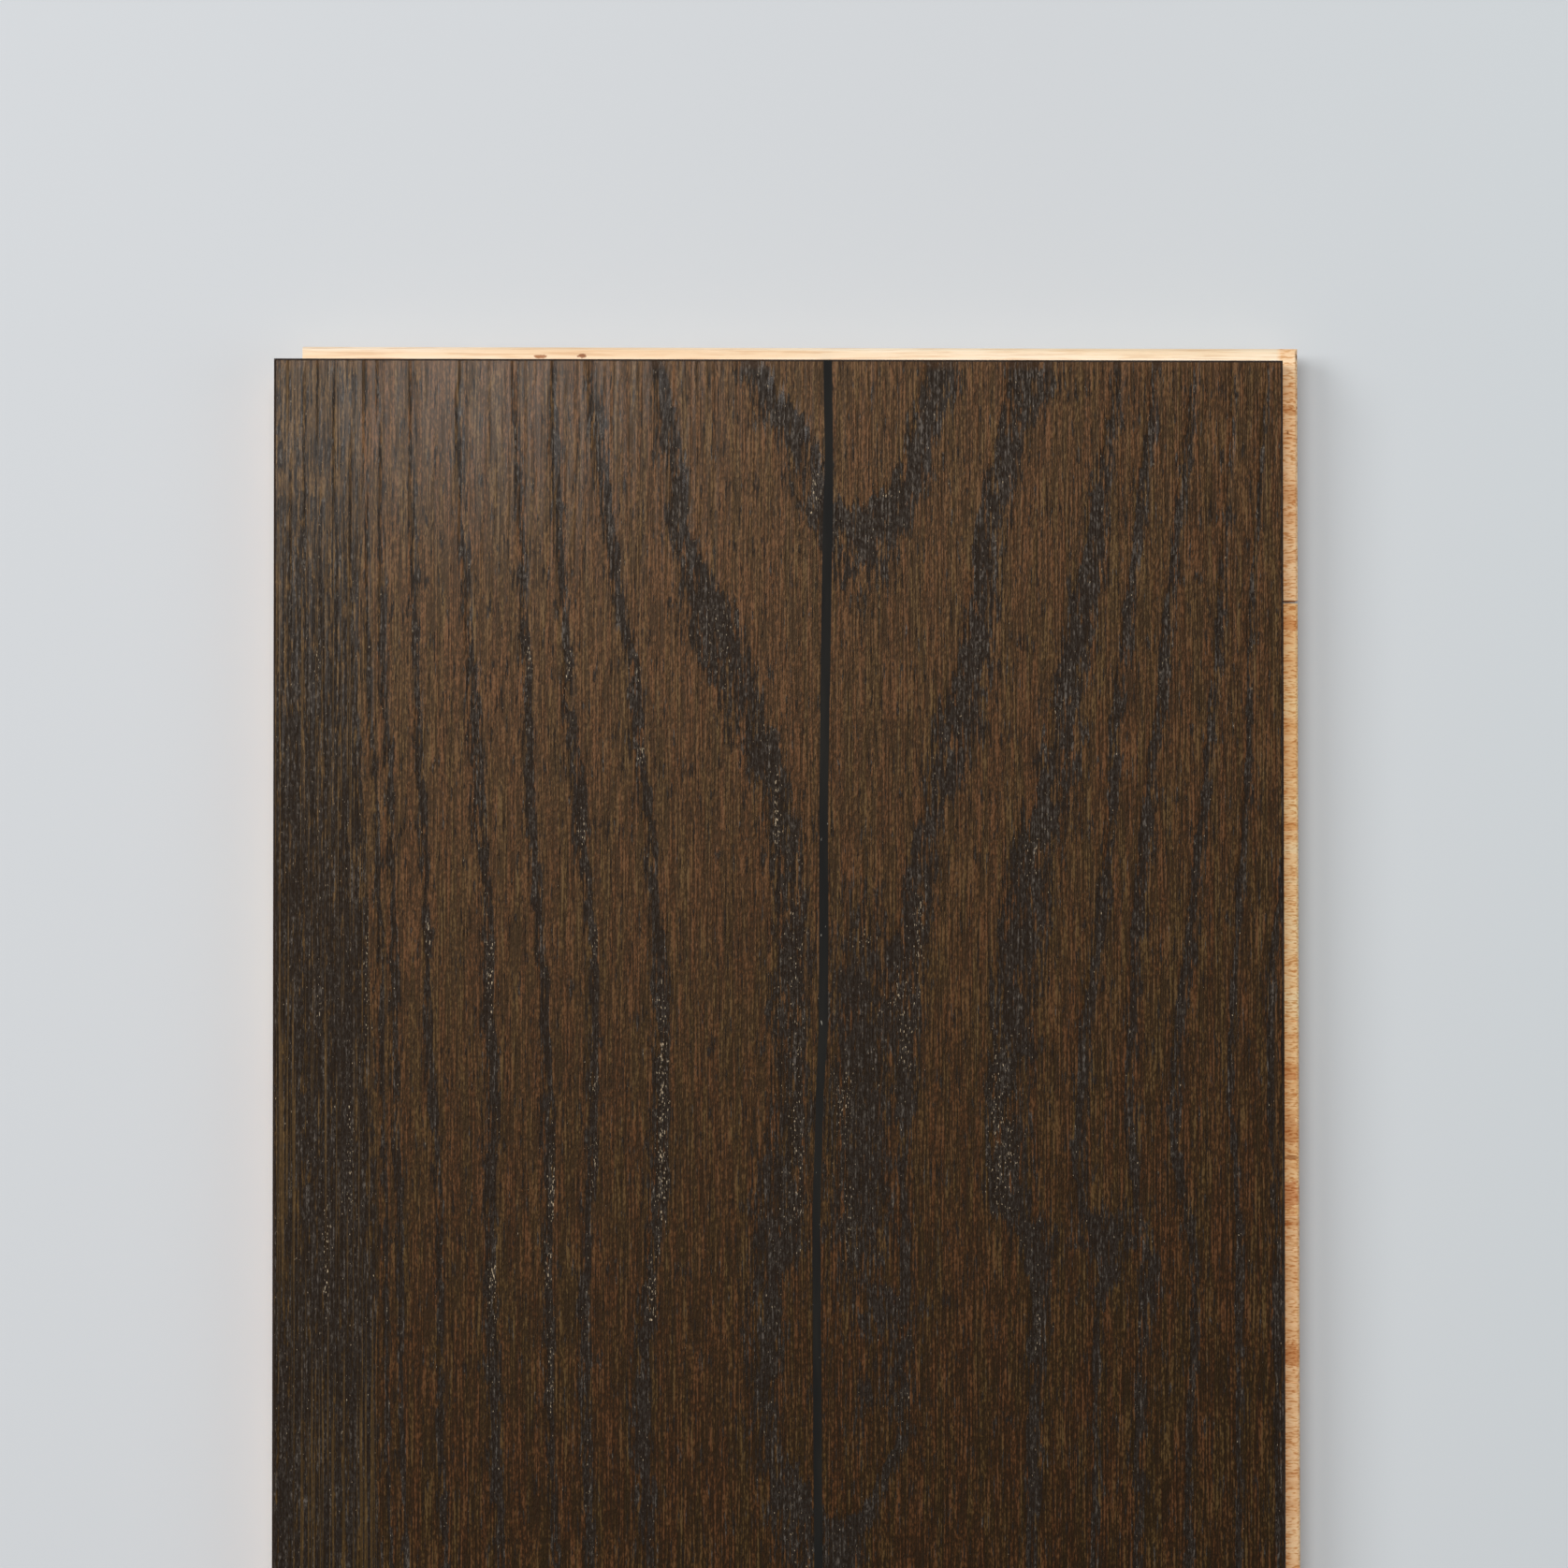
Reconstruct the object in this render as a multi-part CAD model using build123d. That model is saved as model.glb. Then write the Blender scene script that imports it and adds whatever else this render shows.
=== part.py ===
from build123d import *
import os

# An engineered oak floorboard with a tongue and groove all round, sizes in millimetres.
# The board lies face up. Its length runs along Y, its width along X and its thickness up Z.
# The origin is the centre of the underside. The side tongue faces +X, the end tongue +Y,
# the side groove -X and the end groove -Y.

# Body of the board, without its tongues
board_length = 1900.0
board_width = 190.0

# The three layers
face_thickness = 4.0
core_thickness = 9.0
backing_thickness = 2.0

# Small bevel along the four edges of the face
edge_bevel = 0.4

# Tongues, milled in the core
tongue_thickness = 4.8
tongue_top_below_face = 6.0
side_tongue_reach = 3.7
end_tongue_reach = 3.0
tongue_nose_bevel = 0.5

# Grooves, which take the tongues of the next boards
groove_height_clearance = 0.2
groove_depth_clearance_side = 1.0
groove_depth_clearance_end = 0.5

# The lip below a groove stops short, so that the faces close first
lower_lip_setback = 0.5

# Widths of the core strips, counted from the end tongue. The first five are seen along
# the side tongue. The others share out the rest of the length in these proportions,
# used over and over, and are about 36 to 50 wide.
strip_widths_seen = [45.0, 43.7, 36.2, 36.9, 31.5]
strips_beyond = 40
strip_shares_beyond = [44.0, 38.0, 47.0, 41.0, 50.0, 36.0, 43.0]
open_joint = 0.5

# The filled heart crack in the face: distance from the tongue end, place across the
# board and width. It runs out of sight at 204 mm, and its far part is plainly finished.
crack_stations = [
    (0.0, 9.0, 1.6),
    (20.0, 9.3, 1.6),
    (31.0, 9.0, 1.9),
    (56.0, 8.6, 1.8),
    (84.0, 8.2, 1.6),
    (112.0, 8.2, 1.8),
    (126.0, 8.1, 1.7),
    (140.0, 7.4, 1.4),
    (161.0, 6.8, 1.5),
    (204.0, 7.0, 1.6),
    (300.0, 7.6, 1.4),
    (420.0, 8.6, 1.2),
    (540.0, 9.6, 0.8),
]
crack_tip = (640.0, 10.4)
crack_depth = 2.5

# How far a cut runs past what it cuts
beyond = 1.0

# Heights and places that follow
board_thickness = face_thickness + core_thickness + backing_thickness
core_bottom = backing_thickness
core_top = backing_thickness + core_thickness
tongue_top = board_thickness - tongue_top_below_face
tongue_bottom = tongue_top - tongue_thickness
groove_top = tongue_top + groove_height_clearance / 2
groove_bottom = tongue_bottom - groove_height_clearance / 2
side_groove_depth = side_tongue_reach + groove_depth_clearance_side
end_groove_depth = end_tongue_reach + groove_depth_clearance_end
right_side = board_width / 2
left_side = -board_width / 2
tongue_end = board_length / 2
groove_end = -board_length / 2


def block(x_from, x_to, y_from, y_to, z_from, z_to):
    """A square block between two corners."""
    middle = ((x_from + x_to) / 2, (y_from + y_to) / 2, (z_from + z_to) / 2)
    return Pos(*middle) * Box(x_to - x_from, y_to - y_from, z_to - z_from)


def lower_lip_cut():
    """What is taken off the two lower lips, over the full height below the grooves."""
    side = block(left_side - beyond, left_side + lower_lip_setback,
                 groove_end - beyond, tongue_end + beyond, -beyond, groove_bottom)
    end = block(left_side - beyond, right_side + beyond,
                groove_end - beyond, groove_end + lower_lip_setback, -beyond, groove_bottom)
    return side + end


def side_groove_cut(y_from, y_to):
    """The side groove over a length of the board."""
    return block(left_side - beyond, left_side + side_groove_depth,
                 y_from - beyond, y_to + beyond, groove_bottom, groove_top)


def end_groove_cut():
    """The end groove, which also takes the end off the side tongue."""
    return block(left_side - beyond, right_side + side_tongue_reach + beyond,
                 groove_end - beyond, groove_end + end_groove_depth,
                 groove_bottom, groove_top)


def side_tongue(y_from, y_to):
    """A length of the side tongue, with the two edges of its nose taken off."""
    nose = right_side + side_tongue_reach
    tongue = block(right_side, nose, y_from, y_to, tongue_bottom, tongue_top)
    nose_edges = tongue.edges().filter_by(Axis.Y).group_by(Axis.X)[-1]
    return chamfer(nose_edges, tongue_nose_bevel)


def end_tongues():
    """The end tongue and the side tongue of the first strip, which meet at the corner."""
    nose_x = right_side + side_tongue_reach
    nose_y = tongue_end + end_tongue_reach
    end = block(left_side + side_groove_depth, nose_x, tongue_end, nose_y,
                tongue_bottom, tongue_top)
    side = block(right_side, nose_x, tongue_end - strip_widths_seen[0], tongue_end,
                 tongue_bottom, tongue_top)
    both = end + side
    nose_edges = both.edges().filter_by(Axis.X).group_by(Axis.Y)[-1]
    nose_edges += both.edges().filter_by(Axis.Y).group_by(Axis.X)[-1]
    return chamfer(nose_edges, tongue_nose_bevel)


def strip_spans():
    """The place along the board of every core strip, from the tongue end down."""
    length_beyond = board_length - sum(strip_widths_seen)
    shares = [strip_shares_beyond[turn % len(strip_shares_beyond)] for turn in range(strips_beyond)]
    widths_beyond = [length_beyond * share / sum(shares) for share in shares]
    spans = []
    top = tongue_end
    for width in strip_widths_seen + widths_beyond:
        spans.append((top - width, top))
        top -= width
    return spans


def core_strip(y_from, y_to, first, last):
    """One crosswise strip of the core, milled with the profile of the board's edges."""
    strip = block(left_side, right_side, y_from, y_to, core_bottom, core_top)
    strip -= side_groove_cut(y_from, y_to)
    strip += end_tongues() if first else side_tongue(y_from, y_to)
    if last:
        strip -= end_groove_cut()
    return strip - lower_lip_cut()


def face_blank():
    """The oak face in one width, bevelled all round, before its crack."""
    blank = block(left_side, right_side, groove_end, tongue_end, core_top, board_thickness)
    return chamfer(blank.faces().sort_by(Axis.Z)[-1].edges(), edge_bevel)


def crack():
    """The open crack in the face, from the tongue end to where it closes."""
    left_edge = []
    right_edge = []
    for distance, place, width in crack_stations:
        left_edge.append((place - width / 2, tongue_end - distance))
        right_edge.append((place + width / 2, tongue_end - distance))
    start_left = (left_edge[0][0], tongue_end + beyond)
    start_right = (right_edge[0][0], tongue_end + beyond)
    tip = (crack_tip[1], tongue_end - crack_tip[0])
    outline = [start_left] + left_edge + [tip] + right_edge[::-1] + [start_right]
    floor = board_thickness - crack_depth
    shape = make_face(Polyline(*outline, close=True))
    return Pos(0, 0, floor) * extrude(shape, amount=crack_depth + beyond, dir=(0, 0, 1))


def backing_veneer():
    """The thin layer glued below the core."""
    sheet = block(left_side, right_side, groove_end, tongue_end, 0, backing_thickness)
    return sheet - lower_lip_cut()


def save(shape, name):
    """Writes one piece."""
    solid = shape.solid() if len(shape.solids()) == 1 else shape
    export_step(solid, f"parts/{name}.step")


os.makedirs("parts", exist_ok=True)

blank = face_blank()
opening = crack()
save(blank - opening, "face_lamella")
save(blank & opening, "crack_filler")
save(backing_veneer(), "backing_veneer")

spans = strip_spans()
for number, (y_from, y_to) in enumerate(spans, start=1):
    # The joint below the first strip stands open, and the gap is taken off the second.
    strip_top = y_to - open_joint if number == 2 else y_to
    strip = core_strip(y_from, strip_top, number == 1, number == len(spans))
    save(strip, f"core_strip_{number:02d}")
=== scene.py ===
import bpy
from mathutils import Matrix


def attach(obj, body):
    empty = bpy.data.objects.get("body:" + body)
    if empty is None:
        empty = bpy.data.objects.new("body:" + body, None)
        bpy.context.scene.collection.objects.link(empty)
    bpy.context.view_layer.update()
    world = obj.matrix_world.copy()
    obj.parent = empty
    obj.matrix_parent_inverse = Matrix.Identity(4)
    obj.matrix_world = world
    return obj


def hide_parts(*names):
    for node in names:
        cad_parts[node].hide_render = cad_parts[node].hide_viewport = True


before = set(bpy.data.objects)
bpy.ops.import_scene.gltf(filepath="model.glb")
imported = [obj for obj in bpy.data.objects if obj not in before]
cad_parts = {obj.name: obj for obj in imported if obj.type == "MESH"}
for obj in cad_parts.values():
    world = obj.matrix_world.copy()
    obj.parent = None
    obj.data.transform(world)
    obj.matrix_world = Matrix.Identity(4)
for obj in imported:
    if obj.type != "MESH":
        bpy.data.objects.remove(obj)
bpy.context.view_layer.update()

import math

import bpy
import numpy as np
from mathutils import Vector

MM = 0.001

# The board's body, as the solids have it, in millimetres
BOARD_LENGTH = 1900.0
BOARD_WIDTH = 190.0
BOARD_THICKNESS = 15.0
FACE_BOTTOM = 11.0
EDGE_BEVEL = 0.4

# How the photograph's pixels lie on the face
PIXELS_PER_MM = 5.68
END_ROW = 385
MIDDLE_COLUMN = 832

# Heart line of the growth rings, in pixels
HEART_COLUMN = 905

# Growth rings of the face on either side of the heart, read one by one: row, column of the
# sharp edge of the porous wood, which faces the heart, and width of the porous wood.
# The first closes in an arch within the board's first 30 mm.
RINGS_LEFT = [
    [(390, 818, 32), (420, 834, 28), (440, 854, 44), (460, 866, 36), (484, 886, 40), (512, 898, 46),
     (535, 905, 50)],
    [(390, 709, 11), (460, 725, 20), (507, 732, 14), (572, 738, 21), (607, 756, 24), (635, 775, 37),
     (650, 790, 54), (690, 796, 48), (720, 811, 48), (765, 820, 42), (800, 834, 38), (860, 852, 34),
     (940, 857, 27), (1010, 870, 44), (1070, 862, 36), (1190, 864, 34), (1290, 868, 58),
     (1330, 866, 60), (1370, 842, 40), (1450, 834, 28), (1530, 834, 32)],
    [(390, 636, 11), (495, 648, 13), (545, 653, 11), (580, 659, 11), (649, 667, 10), (688, 673, 8),
     (711, 686, 13), (784, 688, 13), (815, 688, 10), (861, 696, 10), (918, 703, 11), (962, 702, 8),
     (1065, 715, 16), (1142, 713, 13), (1219, 713, 15), (1277, 715, 20), (1354, 702, 10),
     (1392, 700, 18), (1450, 696, 16), (1530, 694, 16)],
    [(390, 594, 5), (478, 598, 10), (553, 600, 8), (611, 603, 7), (688, 609, 9), (784, 615, 12),
     (842, 625, 14), (890, 628, 13), (962, 634, 11), (1008, 638, 8), (1104, 640, 10),
     (1200, 638, 10), (1258, 636, 9), (1315, 632, 9), (1392, 630, 11), (1530, 630, 9)],
    [(390, 553, 6), (495, 557, 7), (572, 561, 7), (688, 567, 11), (755, 569, 8), (861, 573, 10),
     (918, 577, 10), (1046, 586, 9), (1123, 588, 9), (1200, 592, 14), (1277, 594, 10),
     (1335, 590, 9), (1412, 592, 9), (1530, 592, 8)],
    [(390, 496, 5), (442, 498, 12), (572, 500, 10), (668, 505, 9), (707, 509, 11), (765, 515, 14),
     (822, 517, 12), (880, 521, 14), (918, 523, 10), (990, 527, 12), (1065, 528, 11),
     (1160, 534, 13), (1277, 532, 12), (1363, 532, 13), (1450, 534, 12), (1530, 535, 10)],
    [(390, 444, 6), (638, 446, 7), (726, 448, 6), (880, 457, 8), (1020, 461, 6), (1085, 460, 6),
     (1180, 467, 8), (1285, 474, 6), (1530, 475, 7)],
    [(390, 408, 6), (495, 410, 5), (580, 411, 7), (680, 412, 6), (765, 415, 7), (813, 419, 6),
     (1050, 427, 9), (1180, 428, 9), (1305, 432, 7), (1392, 432, 5), (1530, 433, 5)],
]
RINGS_RIGHT = [
    [(390, 984, 36), (440, 976, 30), (480, 966, 28), (512, 958, 30), (528, 935, 45), (535, 905, 68)],
    [(390, 1074, 44), (440, 1070, 40), (460, 1066, 24), (500, 1054, 28), (540, 1048, 26),
     (560, 1042, 24), (600, 1038, 24), (640, 1030, 30), (680, 1028, 32), (720, 1018, 32),
     (760, 1000, 42), (800, 990, 40), (820, 988, 38), (860, 986, 24), (900, 974, 20),
     (940, 966, 28), (990, 954, 36), (1050, 944, 34), (1130, 950, 24), (1170, 958, 16),
     (1230, 958, 9), (1310, 960, 8), (1530, 958, 10)],
    [(390, 1190, 12), (440, 1188, 10), (468, 1178, 14), (500, 1172, 14), (540, 1162, 20),
     (580, 1158, 22), (620, 1148, 22), (660, 1140, 24), (700, 1136, 24), (740, 1124, 32),
     (780, 1116, 34), (820, 1108, 38), (860, 1102, 36), (880, 1086, 36), (940, 1076, 38),
     (990, 1066, 44), (1030, 1060, 46), (1070, 1058, 40), (1110, 1058, 36), (1150, 1052, 42),
     (1230, 1050, 40), (1270, 1048, 42), (1292, 1050, 36), (1302, 1066, 44), (1330, 1078, 40),
     (1350, 1086, 36), (1370, 1098, 20), (1410, 1098, 16), (1470, 1098, 12), (1530, 1096, 12)],
    [(390, 1230, 10), (460, 1226, 10), (500, 1218, 10), (540, 1212, 12), (580, 1210, 8),
     (620, 1206, 8), (660, 1198, 10), (700, 1196, 10), (740, 1188, 12), (820, 1184, 10),
     (900, 1181, 8), (960, 1171, 12), (1030, 1164, 12), (1062, 1158, 12), (1098, 1148, 14),
     (1170, 1146, 12), (1250, 1142, 12), (1290, 1150, 12), (1330, 1165, 22), (1365, 1172, 20),
     (1400, 1165, 7), (1530, 1166, 6)],
    [(390, 1274, 8), (460, 1266, 10), (540, 1256, 11), (580, 1252, 7), (640, 1246, 8),
     (660, 1242, 10), (700, 1238, 10), (740, 1236, 10), (780, 1230, 10), (820, 1224, 10),
     (900, 1216, 12), (940, 1212, 12), (990, 1206, 12), (1070, 1204, 10), (1150, 1198, 12),
     (1190, 1198, 12), (1230, 1202, 10), (1270, 1206, 10), (1310, 1214, 9), (1350, 1222, 14),
     (1380, 1216, 20), (1410, 1212, 13), (1530, 1209, 9)],
    [(390, 1316, 8), (460, 1314, 6), (540, 1308, 6), (660, 1300, 8), (700, 1298, 8), (740, 1292, 8),
     (820, 1286, 8), (860, 1282, 8), (900, 1276, 10), (940, 1272, 10), (990, 1266, 10),
     (1030, 1262, 12), (1070, 1256, 10), (1110, 1252, 10), (1190, 1246, 10), (1250, 1250, 10),
     (1290, 1260, 10), (1330, 1268, 8), (1430, 1270, 8), (1530, 1264, 7)],
    [(390, 1354, 5), (480, 1346, 6), (660, 1334, 5), (820, 1330, 6), (900, 1324, 8), (970, 1320, 6),
     (1030, 1316, 6), (1170, 1308, 6), (1250, 1316, 6), (1350, 1318, 8), (1530, 1318, 6)],
    [(390, 1372, 5), (900, 1369, 6), (970, 1362, 8), (1010, 1356, 6), (1110, 1352, 8),
     (1230, 1354, 6), (1310, 1360, 8), (1530, 1360, 8)],
]
# Closer rings follow beyond the last that can be told apart, this far from each other
OUTER_RINGS = 18
OUTER_SPACING = 16.0
OUTER_WIDTH = 5.0

# How dark each ring's porous wood is, from the heart outwards
RING_WEIGHT = [0.85, 0.9, 1.0, 1.0, 1.0, 1.0, 1.0, 1.0, 0.95, 0.85]

# Past the photograph the rings drift outwards this fast, in square millimetres a
# millimetre, which draws long arches over the rest of the board
FAR_DRIFT = 2.6
# A closed ring's arch: square millimetres a millimetre
ARCH_FALL = 9.0

# Soft grey places on the face: row, column, half height, half width, strength
SHADE_PATCHES = [
    (1180, 918, 215, 36, 0.8),
    (1405, 945, 28, 44, 0.62),
    (1470, 955, 55, 17, 0.55),
    (1500, 920, 45, 11, 0.5),
    (1320, 1182, 30, 40, 0.7),
    (1362, 1182, 14, 15, 0.75),
    (1378, 1224, 14, 12, 0.85),
]
# Pale specks in the pores, partly residue and partly painted glint, in the same order
SPECK_PATCHES = [
    (1200, 706, 150, 6, 0.75), (1376, 696, 40, 4, 0.8), (1176, 900, 38, 11, 0.65),
    (1300, 906, 55, 9, 0.45), (1008, 920, 12, 16, 0.6), (1130, 848, 190, 12, 0.35),
    (1270, 850, 36, 12, 0.45), (1210, 1066, 90, 16, 0.5), (1020, 980, 70, 6, 0.6),
    (1065, 958, 22, 16, 0.6), (1110, 968, 36, 7, 0.5), (770, 1126, 14, 6, 0.6),
    (915, 1105, 20, 8, 0.6), (525, 869, 24, 8, 0.7), (540, 948, 10, 9, 0.7),
    (685, 770, 50, 22, 0.3), (865, 828, 44, 4, 1.0), (892, 620, 18, 6, 0.6),
    (1008, 636, 12, 4, 1.0), (1160, 635, 10, 4, 1.0), (1242, 634, 30, 4, 0.9),
    (705, 565, 20, 4, 0.9), (1266, 591, 40, 4, 0.9), (1350, 585, 22, 4, 0.7),
    (1450, 588, 60, 4, 0.5), (1038, 524, 60, 5, 0.6), (1376, 527, 32, 6, 0.8),
    (718, 605, 18, 4, 1.0), (710, 682, 10, 5, 0.8), (800, 684, 14, 5, 1.0),
    (600, 662, 6, 4, 1.0), (997, 457, 16, 3, 1.0), (1340, 350, 70, 4, 0.7),
    (1240, 375, 100, 3, 0.6), (1040, 393, 70, 4, 0.6), (1085, 343, 30, 5, 0.5),
    (720, 340, 40, 4, 0.5), (1430, 1106, 30, 6, 0.5), (1428, 972, 12, 12, 0.4),
]

# Filled heart crack: distance from the tongue end, place across the board and width
CRACK_STATIONS = [
    (0.0, 9.0, 1.6), (20.0, 9.3, 1.6), (31.0, 9.0, 1.9), (56.0, 8.6, 1.8), (84.0, 8.2, 1.6),
    (112.0, 8.2, 1.8), (126.0, 8.1, 1.7), (140.0, 7.4, 1.4), (161.0, 6.8, 1.5),
    (204.0, 7.0, 1.6), (300.0, 7.6, 1.4), (420.0, 8.6, 1.2), (540.0, 9.6, 0.8),
    (640.0, 10.4, 0.0),
]
# Depth of the oak's channel below the filler
CHANNEL_DEPTH = 2.45

# Tones of the core strips, from the end tongue on: light, middle and latewood
TONES = [
    ("FFDAAB", "F9CD9B", "E8B27C"),
    ("FFDCA6", "FBCE95", "EAB171"),
    ("FFE5B7", "FFD9A3", "F0BD82"),
    ("FFDAA6", "F9CB92", "E7AC6F"),
    ("FED5A4", "F5C691", "E2A870"),
]
# Marks on the bare wood of some strips: place and half size across and along the board
# in millimetres, and colour
MARKS = {
    1: [
        ((-45.2, 951.2), (2.4, 0.7), "A0683F"),
        ((-37.4, 951.3), (1.8, 0.9), "8A5330"),
        ((98.5, 951.4), (0.35, 1.4), "8A6440"),
        ((97.0, 941.3), (3.5, 2.0), "DDA46C"),
        ((96.8, 936.9), (0.5, 0.6), "A06B3F"),
    ],
    2: [((97.0, 900.5), (4.0, 3.4), "E3A163")],
    4: [
        ((97.0, 814.7), (4.0, 1.8), "E0A065"),
        ((97.0, 804.0), (4.0, 5.0), "DDA066"),
        ((97.2, 799.3), (2.2, 0.8), "B57B48"),
        ((97.0, 792.0), (4.0, 5.5), "DC9862"),
    ],
    5: [((97.0, 762.0), (4.0, 5.0), "DA9A61")],
}
# How far the strips' sawn edges are eased, in millimetres
EASED = 0.14

# Fineness of the face's mesh, in millimetres
COLUMN_STEP = 0.62
NEAR_ROW_STEP = 3.2
FAR_ROW_STEP = 8.0
NEAR_LENGTH = 230.0

# How far dashes of porous wood stand out over a ring's edge, as a share of the porous
# wood's width, and how early in the ring before it they may start
RAGGEDNESS = 1.0
EDGE_LEAD = 0.15

# The dark zone along the left edge: where its border lies across the board, in metres,
# for a place at the board's middle, and how much it leans for each metre of length
LEFT_ZONE_BORDER = -0.0557
LEFT_ZONE_LEAN = 0.0218

# Depth of the brushed porous wood below the hard wood
BRUSHED_DEPTH = 0.05
FIBRE_DEPTH = 0.015

random = np.random.default_rng(29)


def linear(hex_colour):
    """An sRGB hex colour as linear red, green, blue and alpha."""
    channels = [int(hex_colour[k:k + 2], 16) / 255 for k in (0, 2, 4)]
    return [c / 12.92 if c <= 0.04045 else ((c + 0.055) / 1.055) ** 2.4 for c in channels] + [1.0]


def add(tree, kind, inputs=None, output=0, stops=(), **settings):
    """Adds a node with its settings, its inputs, each a fixed value or the output of
    another node, and the stops of a colour ramp. Gives back one of its outputs."""
    made = tree.nodes.new("ShaderNode" + kind)
    for name, value in settings.items():
        setattr(made, name, value)
    for socket, given in (inputs or {}).items():
        if isinstance(given, bpy.types.NodeSocket):
            tree.links.new(given, made.inputs[socket])
        else:
            made.inputs[socket].default_value = given
    if stops:
        elements = made.color_ramp.elements
        while len(elements) < len(stops):
            elements.new(0.5)
        for element, (position, colour) in zip(elements, stops):
            element.position = position
            element.color = colour
    return made.outputs[output]


def new_material(name):
    """An empty node material, its tree and the socket for its surface."""
    material = bpy.data.materials.new(name)
    material.use_nodes = True
    material.node_tree.nodes.clear()
    surface = material.node_tree.nodes.new("ShaderNodeOutputMaterial").inputs["Surface"]
    return material, material.node_tree, surface


def stretched_noise(tree, place, scale, detail=2.0, roughness=0.55):
    """Noise drawn out along one direction, as wood fibres are."""
    mapped = add(tree, "Mapping", {"Vector": place, "Scale": scale})
    return add(tree, "TexNoise",
               {"Vector": mapped, "Scale": 1.0, "Detail": detail, "Roughness": roughness},
               output="Fac")


def grey(value):
    return [value, value, value, 1.0]


# Rings


def distance_from_end(row):
    return (row - END_ROW) / PIXELS_PER_MM


def across(column):
    return (column - MIDDLE_COLUMN) / PIXELS_PER_MM


def heart_place(distance):
    """Where the heart line lies across the board."""
    past = np.maximum(distance - distance_from_end(1530), 0)
    return across(HEART_COLUMN) + 5.0 * np.sin(past / 260.0)


def ring_squares(stations, distance, closes):
    """Square of a ring's distance from the heart line at a distance from the end, and how
    much larger it is at the far edge of the porous wood."""
    places = np.array([distance_from_end(row) for row, column, width in stations])
    offsets = np.array([abs(column - HEART_COLUMN) for row, column, width in stations]) / PIXELS_PER_MM
    widths = np.array([width for row, column, width in stations]) / PIXELS_PER_MM
    square = np.interp(distance, places, offsets ** 2)
    growth = np.interp(distance, places, (offsets + widths) ** 2 - offsets ** 2)
    past = np.maximum(distance - places[-1], 0)
    if closes:
        return square - ARCH_FALL * past, growth
    far = np.minimum(past / 60.0, 1.0)
    return square - FAR_DRIFT * past - far * 130.0 * np.sin(past / 71.0), growth


def ring_table(rings, distance):
    """Ring squares for one row of the face, from the heart outwards, and the share of
    each ring that is porous."""
    squares, growths = [-320.0], [60.0]
    for number, stations in enumerate(rings):
        square, growth = ring_squares(stations, distance, number < 2)
        squares.append(float(square))
        growths.append(float(growth))
    last = [(distance_from_end(row), abs(column - HEART_COLUMN) / PIXELS_PER_MM)
            for row, column, width in rings[-1]]
    base = np.interp(distance, [place for place, offset in last], [offset for place, offset in last])
    shift = base ** 2 - max(squares[-1], 1.0)
    for step in range(1, OUTER_RINGS + 1):
        offset = base + step * OUTER_SPACING / PIXELS_PER_MM
        squares.append(offset ** 2 - shift)
        growths.append(2 * offset * OUTER_WIDTH / PIXELS_PER_MM)
    squares = np.maximum.accumulate(np.array(squares) + np.arange(len(squares)) * 1e-3)
    spacings = np.append(np.diff(squares), 100.0)
    return squares, np.clip(np.array(growths) / np.maximum(spacings, 1.0), 0.04, 0.7)


def ring_phase(x, distance):
    """Which ring each place in one row is in, with whole numbers at the sharp edge of the
    porous wood, and the share of that ring that is porous."""
    offset = x - heart_place(distance)
    square = offset ** 2
    blend = np.clip(offset / 16.0 + 0.5, 0, 1)
    blend = blend * blend * (3 - 2 * blend)
    phases, spreads = [], []
    for rings in (RINGS_LEFT, RINGS_RIGHT):
        squares, shares = ring_table(rings, distance)
        numbers = np.arange(len(squares))
        phase = np.interp(square, squares, numbers)
        starts = np.stack([numbers - 0.12, numbers + 0.7], 1).ravel()
        phases.append(phase)
        spreads.append(np.interp(phase, starts, np.repeat(shares, 2)))
    return (phases[0] * (1 - blend) + phases[1] * blend,
            spreads[0] * (1 - blend) + spreads[1] * blend)


def patches(x, distance, places):
    """Soft patches over one row."""
    total = np.zeros_like(x)
    for row, column, half_height, half_width, strength in places:
        along = (distance - distance_from_end(row)) / (half_height / PIXELS_PER_MM)
        over = (x - across(column)) / (half_width / PIXELS_PER_MM)
        total = np.maximum(total, strength * np.exp(-(along ** 4) - over ** 2))
    return total


# The oak face


def crack_line(distance):
    places = [station[0] for station in CRACK_STATIONS]
    middle = np.interp(distance, places, [station[1] for station in CRACK_STATIONS])
    width = np.interp(distance, places, [station[2] for station in CRACK_STATIONS])
    return middle, width


def column_places(distance, count_left, count_right):
    """Places of the mesh's columns across one row, which keep to the crack's sides."""
    middle, width = crack_line(distance)
    half = max(width / 2, 0.05)
    bevel = BOARD_WIDTH / 2 - EDGE_BEVEL
    left = np.linspace(-bevel, middle - half, count_left)
    right = np.linspace(middle + half, bevel, count_right)
    inside = [middle - half * 0.9, middle + half * 0.9]
    return np.concatenate([[-BOARD_WIDTH / 2], left, inside, right, [BOARD_WIDTH / 2]])


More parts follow.
